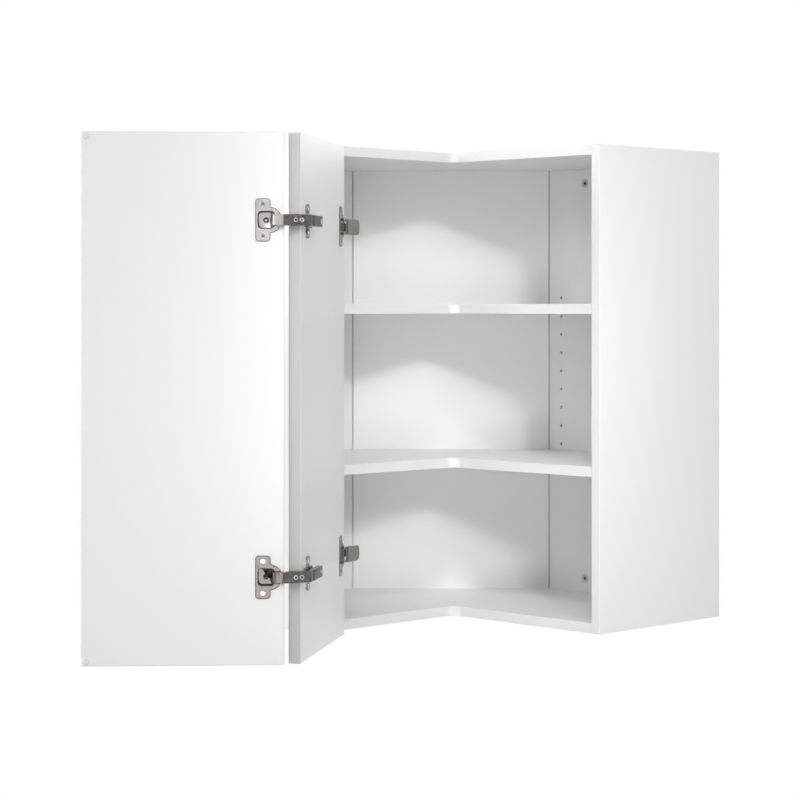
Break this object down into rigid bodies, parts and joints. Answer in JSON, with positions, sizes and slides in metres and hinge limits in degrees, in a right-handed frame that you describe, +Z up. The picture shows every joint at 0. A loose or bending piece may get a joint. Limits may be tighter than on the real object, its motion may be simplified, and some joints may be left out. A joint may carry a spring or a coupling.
{
  "type": "corner wall cabinet",
  "caption": "White L-shaped corner wall cabinet with adjustable shelves and a pair of folding doors on cup hinges, standing open.",
  "frame": {"origin": "the corner of the room, where the two wall planes meet, at the height of the cabinet's underside", "axes": "+X along one wall and -Y along the other, both as seen from the corner into the two legs, +Z up"},
  "size_m": [0.621, 1.0896, 0.768],
  "materials": {
    "carcass_melamine": "satin white melamine",
    "shelf_melamine": "satin white melamine",
    "door_lacquer": "smooth satin white",
    "hinge_nickel": "nickel plate",
    "link_grey": "dull nickel plate",
    "screw_chrome": "bright zinc plate",
    "zinc_cam": "cast zinc",
    "bolt_steel": "zinc plate",
    "dowel_wood": "fluted beech",
    "shelf_pin_nickel": "nickel plate",
    "clear_bumper": "clear soft plastic"
  },
  "bodies": {
    "carcass": {"back_board_bolts": "bolt_steel", "back_board_cams": "zinc_cam", "bottom_board": "carcass_melamine", "diagonal_back_board": "carcass_melamine", "diagonal_board_dowels": "dowel_wood", "end_panel_bolts": "bolt_steel", "end_panel_cams": "zinc_cam", "end_panel_dowels": "dowel_wood", "left_back_board": "carcass_melamine", "left_end_panel": "carcass_melamine", "lower_shelf": "shelf_melamine", "lower_shelf_pins": "shelf_pin_nickel", "lower_swing_hinge_arm": "hinge_nickel", "lower_swing_hinge_arm_screws": "screw_chrome", "lower_swing_hinge_crank_pin": "screw_chrome", "lower_swing_hinge_mounting_plate": "hinge_nickel", "lower_swing_hinge_plate_screws": "screw_chrome", "right_back_board": "carcass_melamine", "right_end_panel": "carcass_melamine", "top_board": "carcass_melamine", "upper_shelf": "shelf_melamine", "upper_shelf_pins": "shelf_pin_nickel", "upper_swing_hinge_arm": "hinge_nickel", "upper_swing_hinge_arm_screws": "screw_chrome", "upper_swing_hinge_crank_pin": "screw_chrome", "upper_swing_hinge_mounting_plate": "hinge_nickel", "upper_swing_hinge_plate_screws": "screw_chrome"},
    "hinged_leaf": {"hinged_door_leaf": "door_lacquer", "lower_fold_hinge_arm": "hinge_nickel", "lower_fold_hinge_arm_screws": "screw_chrome", "lower_fold_hinge_mounting_plate": "hinge_nickel", "lower_fold_hinge_pin": "screw_chrome", "lower_fold_hinge_plate_screws": "screw_chrome", "lower_swing_hinge_cup": "hinge_nickel", "lower_swing_hinge_cup_screws": "screw_chrome", "upper_fold_hinge_arm": "hinge_nickel", "upper_fold_hinge_arm_screws": "screw_chrome", "upper_fold_hinge_mounting_plate": "hinge_nickel", "upper_fold_hinge_pin": "screw_chrome", "upper_fold_hinge_plate_screws": "screw_chrome", "upper_swing_hinge_cup": "hinge_nickel", "upper_swing_hinge_cup_screws": "screw_chrome"},
    "folding_leaf": {"door_bumpers": "clear_bumper", "folding_door_leaf": "door_lacquer", "lower_fold_hinge_cup": "hinge_nickel", "lower_fold_hinge_cup_screws": "screw_chrome", "upper_fold_hinge_cup": "hinge_nickel", "upper_fold_hinge_cup_screws": "screw_chrome"},
    "swing_hinge_cranks": {"lower_swing_hinge_crank": "link_grey", "upper_swing_hinge_crank": "link_grey"},
    "swing_hinge_elbows": {"lower_swing_hinge_elbow": "link_grey", "lower_swing_hinge_elbow_pins": "screw_chrome", "upper_swing_hinge_elbow": "link_grey", "upper_swing_hinge_elbow_pins": "screw_chrome"},
    "fold_hinge_links": {"lower_fold_hinge_link": "hinge_nickel", "lower_fold_hinge_tip_pin": "screw_chrome", "upper_fold_hinge_link": "hinge_nickel", "upper_fold_hinge_tip_pin": "screw_chrome"}
  },
  "joints": [
    {"name": "door_swing", "type": "hinge", "parent": "carcass", "child": "hinged_leaf", "pos_m": [0.33116, -0.61154, 0.382], "axis": [0, 0, 1], "range_deg": [-9.6, 145.4]},
    {"name": "door_fold", "type": "hinge", "parent": "hinged_leaf", "child": "folding_leaf", "pos_m": [0.54945, -0.8421, 0.382], "axis": [0, 0, 1], "range_deg": [-14.8, 0.98]},
    {"name": "crank_turn", "type": "hinge", "parent": "carcass", "child": "swing_hinge_cranks", "pos_m": [0.301, -0.587, 0.382], "axis": [0, 0, 1], "range_deg": [-7.2, 109.05]},
    {"name": "elbow_turn", "type": "hinge", "parent": "swing_hinge_cranks", "child": "swing_hinge_elbows", "pos_m": [0.33784, -0.5706, 0.382], "axis": [0, 0, 1], "range_deg": [-79.97, 5.28]},
    {"name": "fold_link_turn", "type": "hinge", "parent": "hinged_leaf", "child": "fold_hinge_links", "pos_m": [0.51099, -0.86312, 0.382], "axis": [0, 0, 1], "range_deg": [-33, 2.18]}
  ],
  "couplings": [
    {"joint": "door_fold", "follows": "door_swing", "ratio": -0.10179},
    {"joint": "crank_turn", "follows": "door_swing", "ratio": 0.75},
    {"joint": "elbow_turn", "follows": "door_swing", "ratio": -0.55},
    {"joint": "fold_link_turn", "follows": "door_swing", "ratio": -0.22696}
  ]
}
